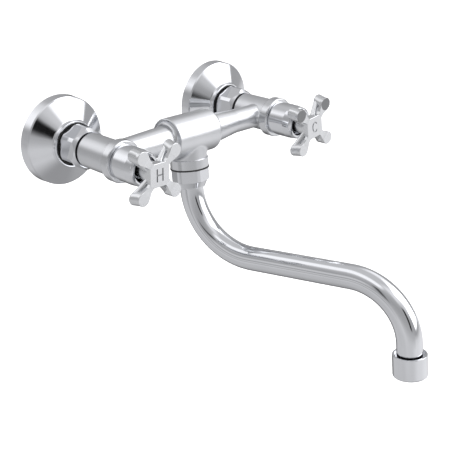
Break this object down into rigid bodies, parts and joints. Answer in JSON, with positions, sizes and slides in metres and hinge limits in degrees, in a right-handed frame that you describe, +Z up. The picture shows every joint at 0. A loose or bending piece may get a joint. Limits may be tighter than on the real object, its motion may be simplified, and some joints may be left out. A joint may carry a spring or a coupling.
{
  "type": "kitchen mixer tap",
  "caption": "Wall mounted kitchen mixer tap with cross handles, a telescopic bridge between its two valves and a swivel swan-neck spout below, with aerator.",
  "frame": {"origin": "midway between the two wall inlets, in the plane of the wall", "axes": "+Y into the wall along the inlets, +Z up, +X from the hot inlet to the cold one"},
  "size_m": [0.214, 0.2463, 0.1674],
  "materials": {
    "polished_chrome": "polished chrome plate",
    "satin_chrome": "satin chrome plate",
    "handle_chrome": "soft satin chrome plate",
    "brass": "turned",
    "rubber": "matt black",
    "ceramic": "lapped",
    "steel": "plain",
    "bearing_plastic": "smooth",
    "insert_plastic": "smooth"
  },
  "bodies": {
    "fixed_side": {"cold_wall_flange": "polished_chrome", "cold_flange_ring": "rubber", "cold_inlet_connector": "polished_chrome", "cold_union_washer": "rubber", "cold_union_tail": "brass", "cold_union_nut": "polished_chrome", "cold_body": "satin_chrome", "cold_seat_seal": "rubber", "cold_fixed_disc": "ceramic", "cold_headwork": "polished_chrome", "cold_bonnet": "polished_chrome", "outlet_gasket": "rubber", "spout_nut": "polished_chrome", "spout_slip_ring": "bearing_plastic"},
    "hot_side": {"hot_wall_flange": "polished_chrome", "hot_flange_ring": "rubber", "hot_inlet_connector": "polished_chrome", "hot_union_washer": "rubber", "hot_union_tail": "brass", "hot_union_nut": "polished_chrome", "hot_body": "satin_chrome", "hot_seat_seal": "rubber", "hot_fixed_disc": "ceramic", "hot_headwork": "polished_chrome", "hot_bonnet": "polished_chrome", "bridge_tube": "satin_chrome", "bridge_o_ring": "rubber"},
    "hot_valve": {"hot_moving_disc": "ceramic", "hot_spindle": "brass", "hot_spindle_o_rings": "rubber", "hot_spindle_clip": "steel", "hot_handle": "handle_chrome", "hot_handle_screw": "steel"},
    "cold_valve": {"cold_moving_disc": "ceramic", "cold_spindle": "brass", "cold_spindle_o_rings": "rubber", "cold_spindle_clip": "steel", "cold_handle": "handle_chrome", "cold_handle_screw": "steel"},
    "spout": {"spout_tail": "brass", "spout_o_rings": "rubber", "spout_tube": "polished_chrome", "aerator_bush": "polished_chrome", "aerator_housing": "polished_chrome", "aerator_washer": "rubber", "aerator_insert": "insert_plastic"}
  },
  "joints": [
    {"name": "bridge_slide", "type": "slide", "parent": "fixed_side", "child": "hot_side", "axis": [1, 0, 0], "range_m": [-0.006, 0.004]},
    {"name": "hot_valve_turn", "type": "hinge", "parent": "hot_side", "child": "hot_valve", "pos_m": [-0.075, -0.1, 0], "axis": [0, -1, 0], "range_deg": [0, 90]},
    {"name": "cold_valve_turn", "type": "hinge", "parent": "fixed_side", "child": "cold_valve", "pos_m": [0.075, -0.1, 0], "axis": [0, -1, 0], "range_deg": [-90, 0]},
    {"name": "spout_swivel", "type": "hinge", "parent": "fixed_side", "child": "spout", "pos_m": [-0.0036, -0.0564, 0], "axis": [0, 0.1219, 0.9925], "range_deg": [-102, 78]}
  ]
}
